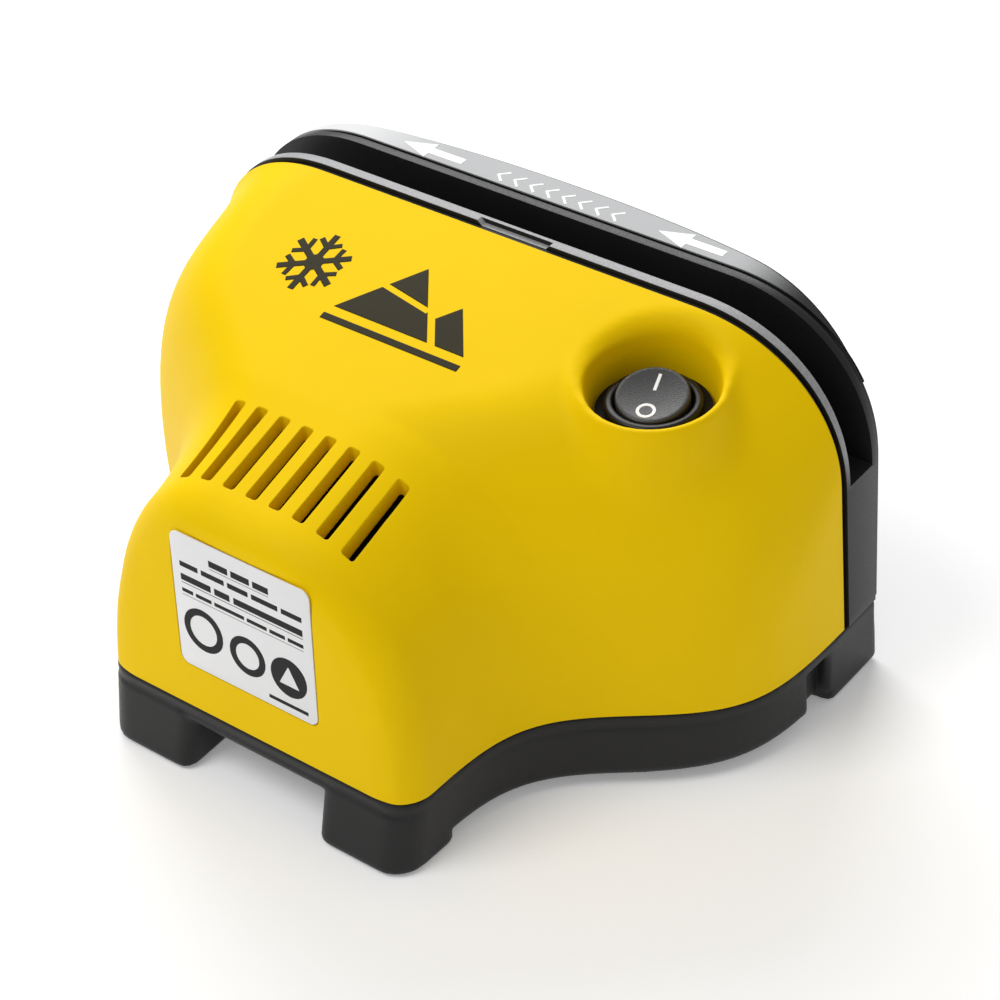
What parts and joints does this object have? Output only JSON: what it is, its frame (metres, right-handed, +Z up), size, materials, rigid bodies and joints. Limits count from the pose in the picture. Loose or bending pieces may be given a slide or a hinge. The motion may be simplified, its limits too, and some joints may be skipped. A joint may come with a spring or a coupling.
{
  "type": "electric scraper sharpener",
  "caption": "Bench-top electric sharpener for plastic wax scrapers, with a motor housing, a through slot over a milling cutter and a rocker switch.",
  "frame": {"origin": "on the bench, in the middle of the tool's footprint", "axes": "+X along the scraper slot, towards the switch end; +Y from the motor bulge to the rear cover; +Z up"},
  "size_m": [0.193, 0.138, 0.104],
  "materials": {
    "base": "moulded black plastic, lightly textured",
    "pad": "matt rubber",
    "shell": "moulded yellow plastic, satin",
    "plate": "printed light grey label, satin",
    "seal": "matt rubber",
    "frame": "moulded black plastic, textured",
    "guide_steel": "ground",
    "cover": "moulded black plastic, textured",
    "grey_print": "printed grey film, satin",
    "switch": "black plastic, satin",
    "brass": "plain",
    "motor_steel": "plated sheet",
    "motor_cap": "matt",
    "bearing": "ground",
    "laminations": "stacked sheet",
    "winding": "enamelled copper wire",
    "graphite": "matt carbon",
    "magnet": "matt ferrite",
    "zinc": "zinc plated",
    "cutter_steel": "ground tool steel",
    "red_wire": "insulation, satin",
    "black_wire": "insulation, satin"
  },
  "bodies": {
    "housing": {"base_tray": "base", "foot_pad_1": "pad", "foot_pad_2": "pad", "foot_pad_3": "pad", "foot_pad_4": "pad", "front_shell": "shell", "rating_plate": "plate", "shell_seal": "seal", "guide_frame": "frame", "infeed_plate": "guide_steel", "outfeed_plate": "guide_steel", "rear_cover": "cover", "direction_label": "grey_print", "switch_seat": "switch", "switch_body": "switch", "switch_terminal_1": "brass", "switch_terminal_2": "brass", "motor_can": "motor_steel", "motor_end_cap": "motor_cap", "front_bearing": "bearing", "rear_bearing": "bearing", "brush_right": "graphite", "brush_left": "graphite", "magnet_right": "magnet", "magnet_left": "magnet", "motor_bracket": "zinc", "motor_screw_1": "zinc", "motor_screw_2": "zinc", "bracket_screw_1": "zinc", "bracket_screw_2": "zinc", "bracket_screw_3": "zinc", "bracket_screw_4": "zinc", "case_screw_1": "zinc", "case_screw_2": "zinc", "case_screw_3": "zinc", "case_screw_4": "zinc", "cover_screw_1": "zinc", "cover_screw_2": "zinc", "cover_screw_3": "zinc", "cover_screw_4": "zinc", "power_socket": "switch", "socket_nut": "brass", "supply_lead": "red_wire", "switch_lead": "red_wire", "return_lead": "black_wire"},
    "rocker": {"rocker_button": "switch"},
    "spindle": {"motor_shaft": "bearing", "armature_core": "laminations", "armature_winding_front": "winding", "armature_winding_rear": "winding", "commutator": "brass", "cutter_head": "cutter_steel", "cutter_screw": "zinc"}
  },
  "joints": [
    {"name": "rocker_switch", "type": "hinge", "parent": "housing", "child": "rocker", "pos_m": [0.0585, 0.0215, 0.0888], "axis": [0.9563, 0.2924, 0], "range_deg": [-22, 0]},
    {"name": "spindle_spin", "type": "hinge", "parent": "housing", "child": "spindle", "pos_m": [-0.0015, 0, 0.042], "axis": [0, 1, 0], "continuous": true}
  ]
}
